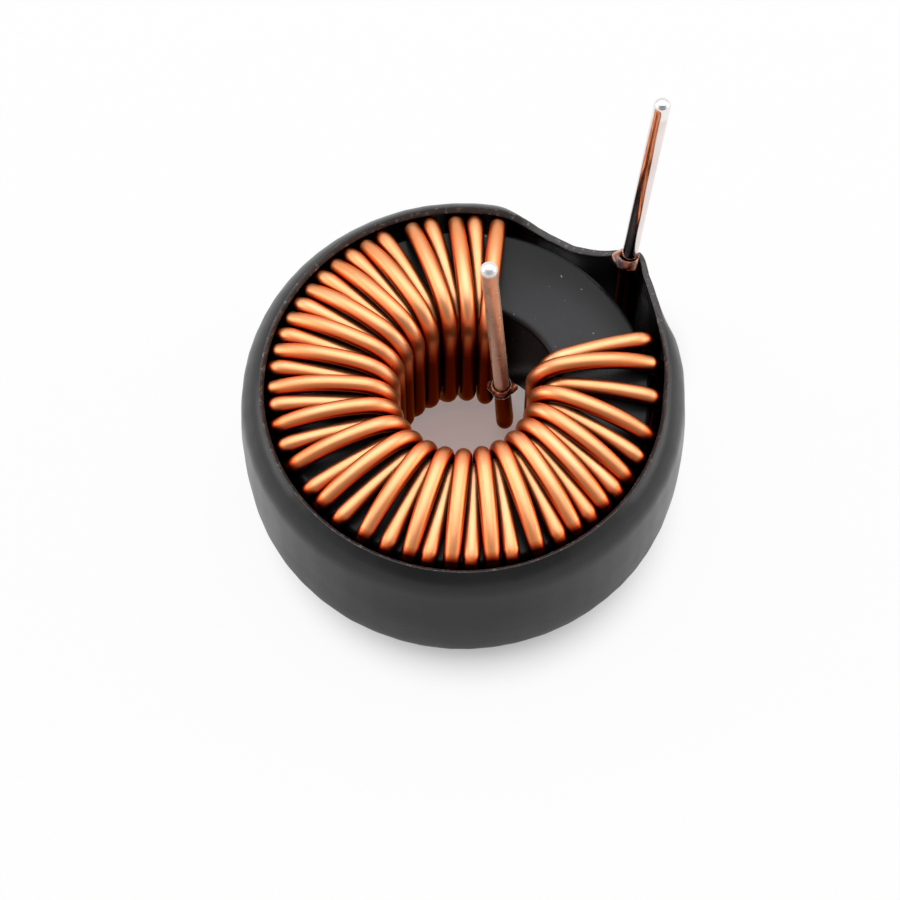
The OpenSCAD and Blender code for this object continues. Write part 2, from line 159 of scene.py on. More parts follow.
def fade(x, ends):
    """0 at the first end and before it, 1 at the second and beyond it, smooth between them."""
    return smooth((x - ends[0]) / (ends[1] - ends[0]))


def bump(x, width):
    return math.exp(-(x / width) ** 2)


def apart(az, other):
    """The signed angle from one azimuth to another, from -180 to 180."""
    return (az - other + 180) % 360 - 180


# ---------------------------------------------------------------- the winding's turns
def extra(share, column):
    """Extra degrees up to that share of the way round: column 1 outside, 2 in the bore."""
    return sum(place[column] for place in LOOSE if share > place[0])


OUT_COVER = 360 - OPEN_ANGLE - extra(1, 1)
BORE_COVER = 360 - OPEN_ANGLE + FIRST_LEAN + LAST_LEAN - extra(1, 2)
LEAST_PITCH = math.degrees(math.asin((WIRE_D + TURN_GAP) / 2 / BORE_R[1]))
TURNS = 1 + math.floor(BORE_COVER / LEAST_PITCH)
LAST = TURNS - 1


def layer(i):
    """0 for a lower turn and 1 for one nested on its neighbours in the bore."""
    return (i + 1) % 2


def out_az(i):
    return FIRST_AZ + i / LAST * OUT_COVER + extra(i / LAST, 1)


def in_az(i):
    return FIRST_AZ - FIRST_LEAN + i / LAST * BORE_COVER + extra(i / LAST, 2)


TURN_AZIMUTHS = [out_az(i) for i in range(TURNS)]
LAST_AZ = out_az(LAST) - 360
INNER_FOOT = polar(INNER_LEAD["r"], INNER_LEAD["az"])
OUTER_LEAD_X = CORE_OD / 2 + OUTER_LEAD["stand"]
OUTER_FOOT = polar(OUTER_LEAD_X, OUTER_LEAD["az"])
OUTER_BEND_R = OUTER_LEAD["stand"] - SEAT_GAP
OUTER_BEND_Z = LOW_TOP - OUTER_BEND_R


def inner_leg(i):
    """Where turn i stands in the bore, seen from above. Before turn 0 it is the inner lead."""
    return INNER_FOOT if i < 0 else polar(BORE_R[layer(i)], in_az(i))


def outer_leg(i):
    return polar(LEG_X - LEG_HUG, out_az(i))


def low_cross(a, ra, b, rb):
    """The lower of the two points that lie ra from a and rb from b."""
    d = b - a
    along = (d.length_squared + ra * ra - rb * rb) / 2 / d.length
    side = math.sqrt(max(ra * ra - along * along, 0))
    u = d.normalized()
    return a + along * u + side * Vector((u.y, -u.x))


def arch_centre(k, plunge_centre, bend_centre, bend_r):
    """The centre of layer k's arch, which touches the bend into the bore and the outer bend."""
    return low_cross(plunge_centre, ARCH_R[k] - PLUNGE_R[k], bend_centre, ARCH_R[k] - bend_r)


def crossing(k, peak, bend_centre, bend_r):
    """Points of the wire's way over the core's face, from the inner leg to the outer one, in the
    upright plane: (distance from the inner leg, height)."""
    plunge_centre = Vector((PLUNGE_R[k], peak - PLUNGE_R[k]))
    arch = arch_centre(k, plunge_centre, bend_centre, bend_r)
    to_plunge, to_bend = plunge_centre - arch, bend_centre - arch
    meet_in = math.atan2(to_plunge.y, to_plunge.x)
    meet_out = math.atan2(to_bend.y, to_bend.x)
    points = []
    for centre, radius, a, b, steps in (
            (plunge_centre, PLUNGE_R[k], math.pi, meet_in, BEND_STEPS),
            (arch, ARCH_R[k], meet_in, meet_out, ARCH_STEPS),
            (bend_centre, bend_r, meet_out, 0.0, BEND_STEPS)):
        for s in range(steps):
            angle = a + (b - a) * s / steps
            points.append((centre.x + radius * math.cos(angle),
                           centre.y + radius * math.sin(angle)))
    points.append((bend_centre.x + bend_r, bend_centre.y))
    return points


def in_plane(flat, start, end, sign):
    """Those points in space, in the upright plane from start to end; sign -1 is under the core."""
    u = (end - start).normalized()
    return [Vector((start.x + u.x * x, start.y + u.y * x, sign * z)) for x, z in flat]


def half_turn(i, j, sign):
    """From inner leg i to outer leg j, over the core or, with sign -1, under it."""
    span = (outer_leg(j) - inner_leg(i)).length
    bend = Vector((span - SHOULDER_R, SHOULDER_Z + BEND_RAISE))
    flat = crossing(layer(i), TOP_Z[layer(i)], bend, SHOULDER_R)
    return in_plane(flat, inner_leg(i), outer_leg(j), sign)


def arch_peak(k):
    """The height of the solids' arch in layer k, where a turn crosses straight outwards."""
    plunge_centre = Vector((PLUNGE_R[k], TOP_Z[k] - PLUNGE_R[k]))
    bend_centre = Vector((SHOULDER_X - BORE_R[k], SHOULDER_Z))
    return arch_centre(k, plunge_centre, bend_centre, SHOULDER_R).y + ARCH_R[k]


# The part rests on its nested turns, so this is the mid-plane's height above the ground.
MID_Z = arch_peak(1) + R

Lead = namedtuple("Lead", "points radii start axis length")


def make_lead(foot, low, kink_z, lead):
    """A lead from the bend under the core to its tip: the wire's points and radii, where its solder
    starts, the way it leans, and the solder's length."""
    tilt, to = rad(lead["tilt"]), rad(lead["to"])
    rise_steps = kink_steps = 4
    cut_steps = 6

    def at(lateral, z):
        return Vector((foot.x + lateral * math.cos(to), foot.y + lateral * math.sin(to), z))

    points = [at(0, low + (kink_z - low) * s / rise_steps) for s in range(rise_steps)]
    for s in range(kink_steps):
        a = tilt * s / kink_steps
        points.append(at(KINK_R * (1 - math.cos(a)), kink_z + KINK_R * math.sin(a)))
    aside, height = KINK_R * (1 - math.cos(tilt)), kink_z + KINK_R * math.sin(tilt)

    def along(length):
        return at(aside + length * math.sin(tilt), height + length * math.cos(tilt))

    strip = (LIP_Z + lead["strip"] - height) / math.cos(tilt)
    full = (LIP_Z + lead["tip"] - height) / math.cos(tilt) - R
    cut = strip - BARE
    enamelled = [cut * s / cut_steps for s in range(cut_steps + 1)]
    scraped = [cut + 0.2, strip + 0.5, full]
    points += [along(length) for length in enamelled + scraped]
    radii = [R] * (len(points) - len(scraped)) + [STRIPPED_D / 2] * len(scraped)
    axis = Vector((math.sin(tilt) * math.cos(to), math.sin(tilt) * math.sin(to), math.cos(tilt)))
    return Lead(points, radii, along(strip), axis, (lead["tip"] - lead["strip"]) / math.cos(tilt))


inner_lead = make_lead(INNER_FOOT, PLUNGE_R[0] - TOP_Z[0], PLUNGE_R[0] - TOP_Z[0] + INNER_RISE,
                       INNER_LEAD)
outer_lead = make_lead(OUTER_FOOT, -OUTER_BEND_Z, HALF_H - KINK_DROP, OUTER_LEAD)


def straight(a, b, steps):
    """Points strictly between two others."""
    return [a.lerp(b, s / steps) for s in range(1, steps)]


def wire_path():
    """The wire's centre line, from the inner lead's tip to the outer lead's, and its radii."""
    path = inner_lead.points[:0:-1]
    radii = inner_lead.radii[:0:-1]

    def add(points):
        if (points[0] - path[-1]).length < 1e-6:
            points = points[1:]
        path.extend(points)
        radii.extend([R] * len(points))

    for i in range(TURNS):
        low, high = half_turn(i - 1, i, -1), half_turn(i, i, 1)
        add(low)
        add(straight(low[-1], high[-1], LEG_STEPS))
        add(high[::-1])
        if i < LAST:
            add(straight(high[0], half_turn(i, i + 1, -1)[0], LEG_STEPS))
    under = inner_leg(LAST)
    bend = Vector(((OUTER_FOOT - under).length - OUTER_BEND_R, OUTER_BEND_Z))
    low = in_plane(crossing(layer(LAST), TOP_Z[0], bend, OUTER_BEND_R), under, OUTER_FOOT, -1)
    add(straight(path[-1], low[0], LEG_STEPS))
    add(low)
    path.extend(outer_lead.points[1:])
    radii.extend(outer_lead.radii[1:])
    return path, radii


# ---------------------------------------------------------------- meshes
def make_object(name, vertices, faces, attributes=None):
    """A smooth-shaded mesh object from points in millimetres, with one vector per vertex for each
    named attribute."""
    mesh = bpy.data.meshes.new(name)
    mesh.from_pydata([tuple(v * MM) for v in vertices], [], faces)
    for key, values in (attributes or {}).items():
        attribute = mesh.attributes.new(key, "FLOAT_VECTOR", "POINT")
        attribute.data.foreach_set("vector", [c for v in values for c in v])
    mesh.polygons.foreach_set("use_smooth", [True] * len(mesh.polygons))
    mesh.update()
    obj = bpy.data.objects.new(name, mesh)
    bpy.context.scene.collection.objects.link(obj)
    return obj


def grid_faces(rows, cols, close_rows=False):
    """Quads of a grid whose columns close on themselves."""
    faces = []
    for i in range(rows if close_rows else rows - 1):
        a, b = i * cols, (i + 1) % rows * cols
        for j in range(cols):
            k = (j + 1) % cols
            faces.append((a + j, a + k, b + k, b + j))
    return faces


def wander(point):
    """A slow uneven offset, as of a wire bent by hand."""
    p = point / WANDER_LENGTH
    return Vector([noise.noise(p + Vector((3 + 17 * k, 5 * k, 0))) for k in range(3)]) * WANDER


def lit(p):
    """How much light is painted on the wire at a point, from 0 to 1, as painted shade where little
    light reaches it: the legs outside are hidden by the sleeve, and those in the bore by each
    other."""
    outside = fade(abs(p.z), OUTER_LEGS_LIT)
    bore = BORE_LEAST + (1 - BORE_LEAST) * fade(p.z, BORE_LEGS_LIT)
    r = p.xy.length
    return 1 + fade(r, OUTER_LEGS_R) * (outside - 1) + fade(r, BORE_LEGS_R) * (bore - 1)


def crest(centre, out):
    """How far a point on the wire, in the direction out from its centre line, faces away from the
    core: 1 on the crest of a turn, 0 in the groove between two turns. Through the wire's shade
    attribute it paints shade into the grooves."""
    r = centre.xy.length
    near_r = min(max(r, CORE_ID / 2 + CORE_EDGE), CORE_OD / 2 - CORE_EDGE)
    near_z = min(max(centre.z, CORE_EDGE - HALF_H), HALF_H - CORE_EDGE)
    away = Vector((r - near_r, centre.z - near_z))
    open_air = fade(away.length, GROOVE_SHADE)
    away.normalize()
    facing = out.dot(Vector((centre.x / r, centre.y / r, 0)) * away.x + Vector((0, 0, away.y)))
    return open_air + (1 - open_air) * max(0.0, facing)


def painted_end_light(centre, p):
    """Painted shadow at a turn's end: 0 where the turn goes down behind the sleeve's edge, in a
    round end, and 1 before it.
    """
    radial = centre.xy.normalized()
    aside = (p - centre).xy.cross(radial) / R
    limit = END_R - END_R_LESS * smooth(0.3 - radial.y)
    round_off = END_ROUND * R * (1 - math.sqrt(max(0.0, 1 - aside * aside)))
    return 1 - smooth((p.xy.length + round_off - limit) / END_WIDTH)


def build_winding():
    """The wire as one tube. Its attribute "lay" holds the place round the wire and along it, and
    "shade" its painted shade: how dark its copper is drawn, and how much light is painted on it."""
    path, radii = wire_path()
    path = [p + wander(p) for p in path]
    lengths = [0.0]
    for a, b in zip(path, path[1:]):
        lengths.append(lengths[-1] + (b - a).length)
    circle = [(math.cos(a), math.sin(a))
              for a in (2 * math.pi * s / WIRE_SIDES for s in range(WIRE_SIDES))]
    normal = Vector((1, 0, 0))
    vertices, lay, shade = [], [], []
    for n, centre in enumerate(path):
        a, b = path[max(0, n - 1)], path[min(len(path) - 1, n + 1)]
        tangent = (b - a).normalized()
        normal = (normal - normal.dot(tangent) * tangent).normalized()
        side = tangent.cross(normal)
        for across, aside in circle:
            out = across * normal + aside * side
            p = centre + radii[n] * out
            # Painted light and shade: the hidden legs, the turns' ends and the grooves are drawn
            # darker.
            light = lit(p) * (painted_end_light(centre, p) if abs(p.z) < ENDS_BELOW else 1)
            vertices.append(lifted(p))
            lay.append((across, aside, lengths[n]))
            shade.append((light * crest(centre, out), light, 0))
    faces = grid_faces(len(path), WIRE_SIDES)
    first, end = len(vertices), (len(path) - 1) * WIRE_SIDES
    vertices += [lifted(path[0]), lifted(path[-1])]
    lay += [(0, 0, 0), (0, 0, lengths[-1])]
    shade += [(1, 1, 0), (1, 1, 0)]
    faces += [((s + 1) % WIRE_SIDES, s, first) for s in range(WIRE_SIDES)]
    faces += [(end + s, end + (s + 1) % WIRE_SIDES, first + 1) for s in range(WIRE_SIDES)]
    return make_object("wound_wire", vertices, faces, {"lay": lay, "shade": shade})


# ---------------------------------------------------------------- the sleeve
BEND_SKIN_R = SHOULDER_R + R + SLEEVE_GAP
LIP_TURN = math.asin((LIP_Z - SHOULDER_Z) / BEND_SKIN_R)
FOOT_TURN = math.asin((FOOT_Z - SHOULDER_Z) / BEND_SKIN_R)
EAR_X = OUTER_LEAD_X + R + COLLAR_T + EAR_GAP
EAR_FROM, EAR_TO = LAST_AZ - EAR_BEFORE, FIRST_AZ + EAR_AFTER


def section(t):
    """The sleeve's inner face in section: t is -2 at the lower cut edge and 2 at the upper."""
    a = max(0.0, abs(t) - 1) * (FOOT_TURN if t < 0 else LIP_TURN)
    up = min(1.0, abs(t)) * SHOULDER_Z + BEND_SKIN_R * math.sin(a)
    return SHOULDER_X + BEND_SKIN_R * math.cos(a), math.copysign(up, t)


LIP_R = section(2)[0]


def hump(share):
    """0 at both ends of a span and 1 in its middle."""
    return 4 * share * (1 - share)


def chord(az, start, start_r, end, end_r):
    """The distance from the axis, at az, of the straight line between two points round it."""
    return start_r * end_r * math.sin(rad(end - start)) / (
        start_r * math.sin(rad(az - start)) + end_r * math.sin(rad(end - az)))


def taut(az, x):
    """The inner face's distance from the axis where it is drawn tight, with a slight hollow, from
    the end turns to the outer lead. Elsewhere it is x."""
    off = az - OUTER_LEAD["az"]
    side = -1 if off < 0 else 1
    at = OUTER_LEAD["az"] + side * math.sqrt(off * off + EAR_ROUND * EAR_ROUND)
    turn_az = LAST_AZ if off < 0 else FIRST_AZ
    if side * (turn_az - at) <= 0:
        return x
    return chord(at, OUTER_LEAD["az"], EAR_X, turn_az, x) - EAR_HOLLOW * hump(
        (at - OUTER_LEAD["az"]) / (turn_az - OUTER_LEAD["az"]))


def fall_way(az):
    """The share of the way from the outer lead to the first turn."""
    return (az - OUTER_LEAD["az"]) / (FIRST_AZ - OUTER_LEAD["az"])


def ear_share(az):
    """How far the upper edge is drawn out to the ear, from 0 to 1."""
    if az < OUTER_LEAD["az"]:
        return lookup((az - LAST_AZ) / (OUTER_LEAD["az"] - LAST_AZ), EAR_RISE)
    return lookup(fall_way(az), EAR_FALL)


def edge_r(az):
    """The upper edge's distance from the axis."""
    return (LIP_R + ear_share(az) * (EAR_X - LIP_R)
            - EAR_DIP * lookup(fall_way(az), EAR_DIP_SHARE))


def inner_face(az, t):
    """A point of the solid's inner face."""
    x, z = section(t)
    low = max(0.0, -z / FOOT_Z)
    edge = max(0.0, z / LIP_Z) ** 2
    x += FOOT_FLARE * low * low + SLEEVE_BELLY * max(0.0, hump(0.5 + z / CORE_H))
    hold = lookup((az - LAST_AZ) / (FIRST_AZ - LAST_AZ), EAR_HOLD)
    radius = (1 - edge) * taut(az, x) + edge * (edge_r(az) + hold * (x - LIP_R))
    p = polar(radius, az)
    drop = EAR_DROP * lookup(fall_way(az), EAR_DROP_SHARE)
    return Vector((p.x, p.y, z - edge * drop))


def eased_face(az, t):
    """The inner face, with its corners beside the first and the last turn eased a little."""
    reach = EASE * (bump(apart(az, LAST_AZ), EASE_LAST) + bump(apart(az, FIRST_AZ), EASE_FIRST))
    if reach < EASE_LEAST:
        return inner_face(az, t)
    total = Vector((0, 0, 0))
    for step, weight in ((-2, 1), (-1, 2), (0, 3), (1, 2), (2, 1)):
        total += inner_face((az + step * reach - EAR_FROM) % 360 + EAR_FROM, t) * weight
    return total / 9


def face_normal(az, t):
    return (eased_face(az + STEP_AZ, t) - eased_face(az - STEP_AZ, t)).cross(
        eased_face(az, t + STEP_T) - eased_face(az, t - STEP_T)).normalized()


def rib(az):
    """How much the turn behind this azimuth holds the sleeve out, from 0 to 1."""
    return bump(min(abs(apart(az, a)) for a in TURN_AZIMUTHS), RIB_WIDTH)


def wall(az):
    """The sleeve's thickness: less where it is stretched over the lead, and a little uneven."""
    thin = SLEEVE_WALL * (1 - EAR_THIN * ear_share(az))
    uneven = noise.noise(Vector((3 * math.cos(rad(az)), 3 * math.sin(rad(az)), 5)))
    return thin * (1 - WALL_UNEVEN + WALL_UNEVEN * uneven)


def skin_point(az, t, depth, along):
    """A point of the sleeve: depth is how far outside the inner face, and along is how far past the
    row towards its edge."""
    n = face_normal(az, t)
    up = (eased_face(az, t) - eased_face(az, t - STEP_T)).normalized()
    p = eased_face(az, t) + n * depth + up * along
    swell = -SET_BACK
    if depth > 0.3:     # the ribs show outside only, and less on the turned-in edges
        swell += RIB_DEPTH * (rib(az) - 1) * (1 - 0.5 * max(0.0, abs(t) - 1))
    wave = Vector([noise.noise(p / WAVE_LENGTH + Vector((7 * k, 3, k))) for k in range(3)]) * WAVE
    return lifted(p + n * swell + wave)


def build_sleeve():
    """The sleeve's closed skin. Its attribute "where" is 1 on the cut edges in X, and 1 on the
    inner face in Y."""
    ear = EAR_TO - EAR_FROM
    azimuths = [EAR_FROM + ear * s / COLUMNS_EAR for s in range(COLUMNS_EAR)]
    azimuths += [EAR_TO + (360 - ear) * s / COLUMNS_ROUND for s in range(COLUMNS_ROUND)]
    rows = ([-2 + 0.125 * s for s in range(8)] + [-1 + 0.25 * s for s in range(9)]
            + [1 + 0.1 * s for s in range(1, 11)])
    vertices, where = [], []

    def ring(t, share, along, cut, inside=0.0):
        for az in azimuths:
            vertices.append(skin_point(az, t, share * wall(az), along))
            where.append((cut, inside, 0))

    # The two cut edges, as shares of the wall and lengths past the last row.
    inset = EDGE_ROUNDING / SLEEVE_WALL
    upper = ((0.02, 0.05), (inset, 0.09), (0.5, 0.1), (1 - inset, 0.08), (0.99, 0.03))
    lower = ((0.98, -0.03), (1 - inset, -0.06), (inset, -0.06), (0.02, -0.03))
    for t in rows:
        ring(t, 0.0, 0.0, 0.0, 1.0)
    for share, along in upper:
        ring(2, share, along, 1.0)
    for t in rows[::-1]:
        ring(t, 1.0, 0.0, 0.0)
    for share, along in lower:
        ring(-2, share, along, 1.0)
    faces = grid_faces(len(vertices) // len(azimuths), len(azimuths), close_rows=True)
    return make_object("shrunk_sleeve", vertices, faces, {"where": where})


# ---------------------------------------------------------------- leads' solder and collars
def lead_frame(lead):
    """A turn that brings Z onto the lead's axis, and the point where its solder starts."""
    z = lead.axis.normalized()
    x = Vector((1, 0, 0))
    x = (x - x.dot(z) * z).normalized()
    y = z.cross(x)
    return Matrix((x, y, z)).transposed(), lifted(lead.start)


def build_solder(name, lead, seed):
    """A solder coat with a domed tip, a faint bead below it and a slightly uneven side."""
    turn, origin = lead_frame(lead)
    radius, sides, steps = TINNED_D / 2, 40, 60
    length = lead.length - 0.02     # stays just inside the solid
    dome = length - radius
    bead_height, bead_spread, ripple = 0.05, 1.3, 0.02
    profile = [(0.9 * radius, 0.0), (radius, 0.02)]
    profile += [(radius, dome * s / steps) for s in range(1, steps)]
    profile += [(radius * math.cos(rad(a)), dome + radius * math.sin(rad(a)))
                for a in range(0, 90, 6)]
    vertices = []
    for r, h in profile:
        bead = bead_height * bump(h - dome, bead_spread)
        for s in range(sides):
            a = 2 * math.pi * s / sides
            uneven = 0.0
            if r > 0.95 * radius:
                place = Vector((math.cos(a), math.sin(a), h * 0.25 + seed))
                uneven = ripple * noise.noise(place * 0.9)
            out = r + bead * r / radius + uneven
            vertices.append(turn @ Vector((out * math.cos(a), out * math.sin(a), h)) + origin)
    faces = grid_faces(len(profile), sides)
    top = len(vertices)
    vertices.append(turn @ Vector((0, 0, length)) + origin)
    last = top - sides
    faces += [(last + s, last + (s + 1) % sides, top) for s in range(sides)]
    return make_object(name, vertices, faces)


def build_collar(name, lead, lumps, skirt, seed):
    """A glassy, lumpy ring round the wire at the start of the stripping. Each lump is its azimuth
    about the lead, its width in degrees, its height and spread along the lead, and how far it
    stands out. The skirt is how far the ring runs down the wire."""
    turn, origin = lead_frame(lead)
    cols, rows = 64, 28
    sunk = 0.12     # the ring's inner side lies this deep in the wire
    thickness = COLLAR_T + 0.14

    def uneven(az, across, height):
        a = rad(az)
        return noise.noise(Vector((math.cos(a) * across, math.sin(a) * across, height + seed)))

    vertices = []
    for i in range(rows):
        s = 2 * math.pi * i / rows
        out, up = math.cos(s), math.sin(s)
        for j in range(cols):
            az = 360 * j / cols
            h = COLLAR_H * (0.55 * up - 0.48)
            if up < 0:
                h += up * skirt * (0.6 + 0.4 * uneven(az, 2, 0))
            thick = thickness
            for at, width, height, spread, stand in lumps:
                thick += stand * bump(apart(az, at), width) * bump(h - height, spread)
            thick *= 1 + 0.30 * uneven(az, 1.7, h * 1.6) + 0.10 * uneven(az, 5, h * 4)
            r = R - sunk + (out + 1) / 2 * (thick + sunk)
            a = rad(az)
            vertices.append(turn @ Vector((r * math.cos(a), r * math.sin(a), h)) + origin)
    faces = grid_faces(rows, cols, close_rows=True)
    return make_object(name, vertices, [f[::-1] for f in faces])


# ---------------------------------------------------------------- node trees
def new_material(name):
    """A material with a Principled shader: itself, its nodes, its links and the shader's inputs."""
    material = bpy.data.materials.new(name)
    material.use_nodes = True
    nodes, links = material.node_tree.nodes, material.node_tree.links
    nodes.clear()
    out = nodes.new("ShaderNodeOutputMaterial")
    shader = nodes.new("ShaderNodeBsdfPrincipled")
    links.new(shader.outputs["BSDF"], out.inputs["Surface"])
    return material, nodes, links, shader.inputs


def grey(v):
    return (v, v, v)


def ramp(nodes, links, value, stops):
    """A colour ramp with these (place, colour) stops."""
    node = nodes.new("ShaderNodeValToRGB")
    elements = node.color_ramp.elements
    while len(elements) < len(stops):
        elements.new(0.5)
    for element, (at, colour) in zip(elements, stops):
        element.position = at
        element.color = (*colour, 1)
    links.new(value, node.inputs["Fac"])
    return node.outputs["Color"]


def noise_node(nodes, links, vector, scale, detail=4.0, roughness=0.6, distortion=0.0):
    node = nodes.new("ShaderNodeTexNoise")
    node.inputs["Scale"].default_value = scale
    node.inputs["Detail"].default_value = detail
    node.inputs["Roughness"].default_value = roughness
    node.inputs["Distortion"].default_value = distortion
    links.new(vector, node.inputs["Vector"])
    return node.outputs["Fac"]


def bump_node(nodes, links, height, strength, distance, below=None):
    """A normal that shows the height as relief, on top of the relief below it."""
    node = nodes.new("ShaderNodeBump")
    node.inputs["Strength"].default_value = strength
    node.inputs["Distance"].default_value = distance
    links.new(height, node.inputs["Height"])
    if below is not None:
        links.new(below, node.inputs["Normal"])
    return node.outputs["Normal"]


def map_range(nodes, links, value, low, high, to_low, to_high):
    node = nodes.new("ShaderNodeMapRange")
    node.interpolation_type = "SMOOTHSTEP"
    node.inputs["From Min"].default_value = low
    node.inputs["From Max"].default_value = high
    node.inputs["To Min"].default_value = to_low
    node.inputs["To Max"].default_value = to_high
    links.new(value, node.inputs["Value"])
    return node.outputs["Result"]


def maths(nodes, links, operation, *values):
    node = nodes.new("ShaderNodeMath")
    node.operation = operation
    for socket, value in zip(node.inputs, values):
        if isinstance(value, (int, float)):
            socket.default_value = value
        else:
            links.new(value, socket)
    return node.outputs["Value"]


def vector_maths(nodes, links, operation, vector, other=None, output="Vector"):
    node = nodes.new("ShaderNodeVectorMath")
    node.operation = operation
    links.new(vector, node.inputs[0])
    if other is not None:
        node.inputs[1].default_value = other
    return node.outputs[output]


def mix_colour(nodes, links, factor, first, second, blend="MIX"):
    """The first colour turned into the second by the factor. Each is a colour or a socket."""
    node = nodes.new("ShaderNodeMix")
    node.data_type = "RGBA"
    node.blend_type = blend
    if isinstance(factor, (int, float)):
        node.inputs["Factor"].default_value = factor
    else:
        links.new(factor, node.inputs["Factor"])
    for socket, colour in ((node.inputs[6], first), (node.inputs[7], second)):
        if isinstance(colour, tuple):
            socket.default_value = (*colour, 1)
        else:
            links.new(colour, socket)
    return node.outputs[2]


def attribute(nodes, name):
    node = nodes.new("ShaderNodeAttribute")
    node.attribute_name = name
    return node.outputs["Vector"]


def object_place(nodes):
    """The shaded point in the object's own coordinates, in metres."""
    return nodes.new("ShaderNodeTexCoord").outputs["Object"]


def separate(nodes, links, vector):
    node = nodes.new("ShaderNodeSeparateXYZ")
    links.new(vector, node.inputs["Vector"])
    return node.outputs


# ---------------------------------------------------------------- materials
def copper_material():
    """Bright drawn copper under clear amber enamel, with painted shade: darker in the grooves, on
    the hidden legs and at the turns' ends.
    """
    material, nodes, links, shader = new_material("enamelled_copper")
    lay = attribute(nodes, "lay")
    # Drawing lines run along the wire: the length is squeezed before the noise.
    squeezed = vector_maths(nodes, links, "MULTIPLY", lay, (0.8, 0.8, 0.04))
    lines = noise_node(nodes, links, squeezed, 3.0, 3.0, 0.5)
    slow = vector_maths(nodes, links, "MULTIPLY", lay, (0.5, 0.5, 0.14))
    patches = noise_node(nodes, links, slow, 1.0, 3.0, 0.5)
    tone = ramp(nodes, links, patches, [(0.3, (0.91, 0.38, 0.16)), (0.55, (0.94, 0.42, 0.19)),
                                        (0.75, (0.96, 0.48, 0.25))])
    shade = separate(nodes, links, attribute(nodes, "shade"))
    # Painted shade: the copper is drawn darker and redder where the wire's shade attribute is low.
    painted_shade = ramp(nodes, links, shade["X"], [
        (0.0, (0.02, 0.004, 0.002)), (0.25, (0.34, 0.06, 0.02)), (0.5, (0.80, 0.34, 0.15)),
        (0.78, (0.96, 0.72, 0.52)), (0.97, grey(1))])
    links.new(mix_colour(nodes, links, 1.0, tone, painted_shade, "MULTIPLY"), shader["Base Color"])
    links.new(ramp(nodes, links, lines, [(0.3, grey(0.38)), (0.7, grey(0.44))]),
              shader["Roughness"])
    links.new(bump_node(nodes, links, patches, 0.2, 0.0002), shader["Normal"])
    # Painted shade: the enamel's gloss goes out where no light reaches the wire.
    links.new(map_range(nodes, links, shade["Y"], 0.0, 1.0, 0.0, 0.4), shader["Coat Weight"])
    shader["Metallic"].default_value = 1.0
    shader["Specular Tint"].default_value = (1.0, 0.52, 0.28, 1)
    shader["Coat Roughness"].default_value = 0.22
    return material


def sleeve_material():
    """Satin black shrunk tube, scuffed, with a paler cut face, pale nicks along it and an inner
    face painted dead black, as shade inside the sleeve."""
    material, nodes, links, shader = new_material("sleeve_black")
    place = object_place(nodes)
    where = separate(nodes, links, attribute(nodes, "where"))
    skin = noise_node(nodes, links, place, 900.0, 3.0)
    cloud = noise_node(nodes, links, place, 120.0)
    tone = ramp(nodes, links, cloud, [(0.3, grey(0.005)), (0.7, (0.010, 0.010, 0.0105))])
    nicks = ramp(nodes, links, noise_node(nodes, links, place, 1500.0, 3.0),
                 [(0.56, grey(0)), (0.72, grey(0.8))])
    nicks_on_edge = maths(nodes, links, "MULTIPLY", nicks, where["X"])
    colour = mix_colour(nodes, links, where["X"], tone, (0.038, 0.034, 0.033))
    colour = mix_colour(nodes, links, nicks_on_edge, colour, (0.22, 0.21, 0.20))
    # Painted shade: the inner face is drawn darker than the outside.
    colour = mix_colour(nodes, links, where["Y"], colour, grey(0.003))
    links.new(colour, shader["Base Color"])
    links.new(ramp(nodes, links, cloud, [(0.3, grey(0.25)), (0.7, grey(0.36))]),
              shader["Roughness"])
    fine = bump_node(nodes, links, skin, 0.15, 0.00006)
    links.new(bump_node(nodes, links, cloud, 0.25, 0.0003, fine), shader["Normal"])
    shader["Specular IOR Level"].default_value = 0.42
    return material


def core_material():
    """Dark grey glossy coat over pressed powder, with a little orange peel and dust specks. Shade
    is
    painted on it: it is drawn darker in the bore, by the sleeve and towards the back, where little
    light reaches it."""
    material, nodes, links, shader = new_material("core_coating")
    place = object_place(nodes)
    peel = noise_node(nodes, links, place, 420.0, 3.0, 0.5)
    cloud = noise_node(nodes, links, place, 90.0)
    tone = ramp(nodes, links, cloud,
                [(0.3, (0.034, 0.034, 0.037)), (0.7, (0.052, 0.052, 0.056))])
    flat = vector_maths(nodes, links, "MULTIPLY", place, (1, 1, 0))
    radius = vector_maths(nodes, links, "LENGTH", flat, output="Value")
    back = separate(nodes, links, place)["Y"]
    # Painted light: 1 where the coat shows its own tone, less in the bore, by the sleeve and
    # towards the back.
    light = maths(nodes, links, "MULTIPLY",
                  map_range(nodes, links, radius, 0.0120, 0.0132, 0.06, 1.0),
                  map_range(nodes, links, radius, 0.0175, 0.0232, 1.0, 0.1))
    light = maths(nodes, links, "MULTIPLY", light,
                  map_range(nodes, links, back, 0.008, 0.021, 1.0, 0.25))
    colour = mix_colour(nodes, links, light, (0.003, 0.003, 0.0035), tone)
    specks = ramp(nodes, links, noise_node(nodes, links, place, 1500.0, 1.0, 0.5),
                  [(0.77, grey(0)), (0.80, grey(1))])
    links.new(mix_colour(nodes, links, specks, colour, (0.30, 0.29, 0.28)), shader["Base Color"])
    links.new(ramp(nodes, links, cloud, [(0.3, grey(0.22)), (0.7, grey(0.36))]),
              shader["Roughness"])
    links.new(bump_node(nodes, links, peel, 0.15, 0.0001), shader["Normal"])
    shader["Specular IOR Level"].default_value = 0.18
    return material


